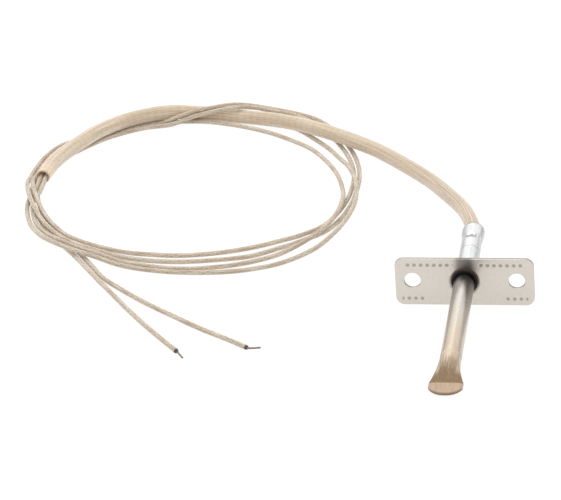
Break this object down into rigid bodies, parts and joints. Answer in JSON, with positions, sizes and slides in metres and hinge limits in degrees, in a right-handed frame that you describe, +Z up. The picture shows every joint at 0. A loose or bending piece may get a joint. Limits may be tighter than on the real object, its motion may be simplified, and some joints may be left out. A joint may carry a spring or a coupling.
{
  "type": "flame sensor probe",
  "caption": "Sheathed flame sensor probe with a flattened tip, a small screw-on mounting plate and glass-braided leads.",
  "frame": {"origin": "on the supporting surface, under the middle of the rigid probe", "axes": "+Z up from the supporting surface, -Y towards the probe's tip, +X along the mounting plate to the right seen from the tip"},
  "size_m": [0.1693, 0.2195, 0.015],
  "materials": {
    "sheath_steel": "drawn stainless tube, satin, heat-tinted straw to brown towards the tip",
    "plate_steel": "stamped stainless sheet, satin",
    "braze": "dull brazing alloy",
    "ceramic": "sintered white ceramic, matt",
    "wire_alloy": "drawn nickel alloy wire",
    "ferrule_metal": "plated crimp barrel",
    "splice_glass": "varnished glass-fibre braid",
    "sleeve_glass": "beige glass-fibre braid, coarse",
    "lead_glass": "beige glass-fibre braid, fine",
    "end_seal": "dark cured varnish",
    "bare_wire": "stripped solid conductor"
  },
  "bodies": {
    "root": {"sheath_tube": "sheath_steel", "mounting_plate": "plate_steel", "braze_ring": "braze", "tip_packing": "ceramic", "hot_junction": "wire_alloy", "ceramic_bead_1": "ceramic", "ceramic_bead_2": "ceramic", "ceramic_bead_3": "ceramic", "thermo_wire_a": "wire_alloy", "thermo_wire_b": "wire_alloy", "splice_ferrule_a": "ferrule_metal", "splice_ferrule_b": "ferrule_metal", "splice_sleeve_a": "splice_glass", "splice_sleeve_b": "splice_glass", "lead_core_a": "wire_alloy", "lead_core_b": "wire_alloy", "glass_sleeve": "sleeve_glass", "lead_a": "lead_glass", "lead_b": "lead_glass", "end_seal_a": "end_seal", "end_seal_b": "end_seal", "bare_conductor_a": "bare_wire", "bare_conductor_b": "bare_wire"}
  },
  "joints": []
}
